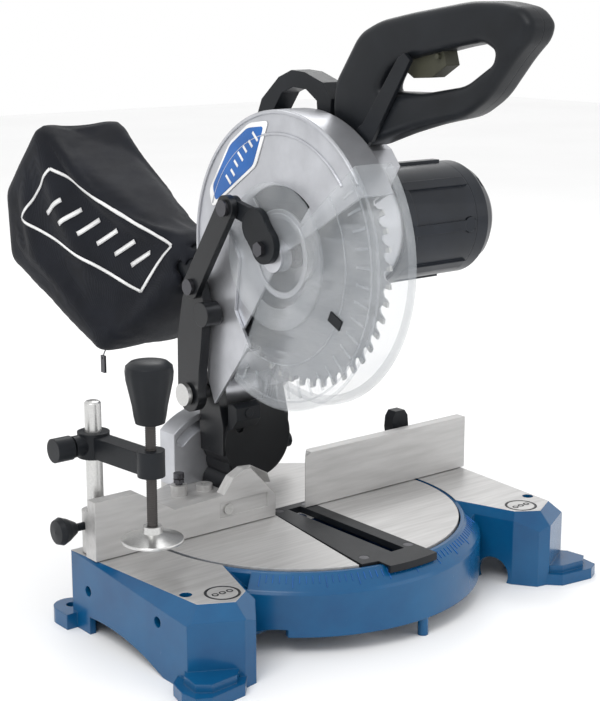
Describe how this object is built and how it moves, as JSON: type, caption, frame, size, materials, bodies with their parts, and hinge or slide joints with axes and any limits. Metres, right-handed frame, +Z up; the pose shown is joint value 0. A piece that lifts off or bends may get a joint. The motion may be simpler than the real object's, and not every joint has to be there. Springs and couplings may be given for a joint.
{
  "type": "compound mitre saw",
  "caption": "Bench-top mitre saw: cast base, turntable, fence, hinged saw head with sprung guards, motor, dust bag and hold-down clamp.",
  "frame": {"origin": "on the bench under the turntable's mitre axis", "axes": "+X to the operator's right along the fence, +Y away from the operator, +Z up"},
  "size_m": [0.411, 0.5859, 0.461],
  "materials": {
    "blue_paint": "gloss",
    "machined_aluminium": "machined satin",
    "cast_silver": "satin silver",
    "black_plastic": "satin",
    "black_casting": "satin",
    "zinc": "zinc plated",
    "steel": "ground",
    "dark_steel": "blackened",
    "clear_guard": "clear",
    "badge_blue": "gloss",
    "copper_winding": "lacquered",
    "olive_plastic": "satin",
    "nylon": "woven"
  },
  "bodies": {
    "base": {"base_casting": "blue_paint", "turntable_carrier": "blue_paint", "fence": "machined_aluminium", "fence_bolts": "dark_steel", "fence_screw": "zinc", "mitre_pivot_bolt": "steel"},
    "socket_knob": {"socket_knob": "black_plastic"},
    "fence_knob": {"fence_knob": "black_plastic"},
    "turntable": {"turntable": "machined_aluminium", "bevel_column": "cast_silver", "kerf_plate": "black_plastic", "kerf_screws": "dark_steel", "bevel_stop_screw": "dark_steel", "bevel_pivot_bolt": "steel"},
    "bevel_arm": {"bevel_arm": "black_casting", "hinge_pin": "steel", "hinge_pin_head": "zinc", "return_spring": "dark_steel", "laser_housing": "black_plastic"},
    "bevel_lock_lever": {"bevel_lock_lever": "black_plastic"},
    "transport_pin": {"transport_pin": "black_plastic"},
    "head": {"gear_housing": "cast_silver", "upper_guard": "cast_silver", "rear_guard_panel": "cast_silver", "hinge_strut": "black_casting", "guard_stay": "black_casting", "stay_screws": "dark_steel", "guard_badge": "badge_blue", "hub_cap": "black_plastic", "hub_bolt": "dark_steel", "motor_housing": "black_plastic", "motor_end_cap": "black_plastic", "brush_caps": "black_plastic", "stator": "copper_winding", "bearings": "steel", "handle_left_shell": "black_plastic", "handle_right_shell": "black_plastic", "handle_screws": "zinc", "trigger_switch": "black_plastic", "carry_handle": "black_plastic", "dust_port": "black_plastic", "dust_bag": "nylon"},
    "blade": {"arbor_spindle": "steel", "saw_blade": "steel", "blade_flanges": "steel", "arbor_bolt": "dark_steel"},
    "armature": {"armature": "steel"},
    "lower_guard": {"lower_guard": "clear_guard", "guard_pad": "black_plastic"},
    "spindle_lock": {"spindle_lock": "black_plastic"},
    "trigger": {"trigger": "olive_plastic"},
    "release_lever": {"release_lever": "black_plastic"},
    "zipper_pull": {"zipper_pull": "dark_steel"},
    "clamp_post": {"clamp_post": "zinc"},
    "clamp_arm": {"clamp_arm": "black_plastic"},
    "arm_knob": {"arm_knob": "black_plastic"},
    "clamp_spindle": {"clamp_spindle": "dark_steel", "spindle_knob": "black_plastic"},
    "pressure_pad": {"pressure_pad": "zinc"}
  },
  "joints": [
    {"name": "mitre", "type": "hinge", "parent": "base", "child": "turntable", "pos_m": [0, 0, 0.05], "axis": [0, 0, 1], "range_deg": [-45, 45]},
    {"name": "bevel", "type": "hinge", "parent": "turntable", "child": "bevel_arm", "pos_m": [0, 0.1, 0.06], "axis": [0, -1, 0], "range_deg": [0, 33]},
    {"name": "chop", "type": "hinge", "parent": "bevel_arm", "child": "head", "pos_m": [0, 0.102, 0.142], "axis": [1, 0, 0], "range_deg": [0, 47], "stiffness_Nm_per_rad": 12, "springref_deg": -57.3, "deforming": ["return_spring"]},
    {"name": "guard_turn", "type": "hinge", "parent": "head", "child": "lower_guard", "pos_m": [0, -0.004, 0.27], "axis": [1, 0, 0], "range_deg": [-131.5, 0.5]},
    {"name": "blade_spin", "type": "hinge", "parent": "head", "child": "blade", "pos_m": [0, -0.004, 0.27], "axis": [1, 0, 0], "continuous": true},
    {"name": "armature_spin", "type": "hinge", "parent": "head", "child": "armature", "pos_m": [0.1, -0.02877, 0.29006], "axis": [1, 0, 0], "continuous": true},
    {"name": "spindle_lock_push", "type": "slide", "parent": "head", "child": "spindle_lock", "axis": [-1, 0, 0], "range_m": [0, 0.0018], "stiffness_N_per_m": 300},
    {"name": "trigger_pull", "type": "hinge", "parent": "head", "child": "trigger", "pos_m": [0.03, -0.13, 0.423], "axis": [1, 0, 0], "range_deg": [0, 6], "stiffness_Nm_per_rad": 2, "springref_deg": -5.73},
    {"name": "lever_press", "type": "hinge", "parent": "head", "child": "release_lever", "pos_m": [0.0135, -0.063, 0.364], "axis": [-1, 0, 0], "range_deg": [0, 8], "stiffness_Nm_per_rad": 2, "springref_deg": -5.73},
    {"name": "zipper_swing", "type": "hinge", "parent": "head", "child": "zipper_pull", "pos_m": [-0.051, 0.206, 0.156], "axis": [1, 0, 0], "range_deg": [-50, 50]},
    {"name": "bevel_lock_turn", "type": "hinge", "parent": "bevel_arm", "child": "bevel_lock_lever", "pos_m": [0, 0.14, 0.112], "axis": [0, -1, 0], "range_deg": [0, 60]},
    {"name": "transport_pin_pull", "type": "slide", "parent": "bevel_arm", "child": "transport_pin", "axis": [1, 0, 0], "range_m": [0, 0.006]},
    {"name": "socket_knob_turn", "type": "hinge", "parent": "base", "child": "socket_knob", "pos_m": [-0.195, 0.022, 0.082], "axis": [1, 0, 0], "range_deg": [-180, 180]},
    {"name": "fence_knob_turn", "type": "hinge", "parent": "base", "child": "fence_knob", "pos_m": [0.127, 0.022, 0.09], "axis": [0, 0, 1], "range_deg": [-90, 90]},
    {"name": "clamp_swing", "type": "hinge", "parent": "base", "child": "clamp_post", "pos_m": [-0.174, 0.022, 0.1], "axis": [0, 0, -1], "range_deg": [0, 40]},
    {"name": "clamp_arm_lift", "type": "slide", "parent": "clamp_post", "child": "clamp_arm", "axis": [0, 0, -1], "range_m": [0, 0.012]},
    {"name": "arm_knob_turn", "type": "hinge", "parent": "clamp_arm", "child": "arm_knob", "pos_m": [-0.2, 0.022, 0.144], "axis": [1, 0, 0], "range_deg": [-180, 180]},
    {"name": "spindle_feed", "type": "slide", "parent": "clamp_arm", "child": "clamp_spindle", "axis": [0, 0, -1], "range_m": [0, 0.012]},
    {"name": "pad_swivel", "type": "hinge", "parent": "clamp_spindle", "child": "pressure_pad", "pos_m": [-0.168, -0.045, 0.09], "axis": [0, 0, 1], "continuous": true}
  ],
  "couplings": [
    {"joint": "guard_turn", "follows": "chop", "ratio": -2.7872},
    {"joint": "armature_spin", "follows": "blade_spin", "ratio": -4.6667}
  ]
}
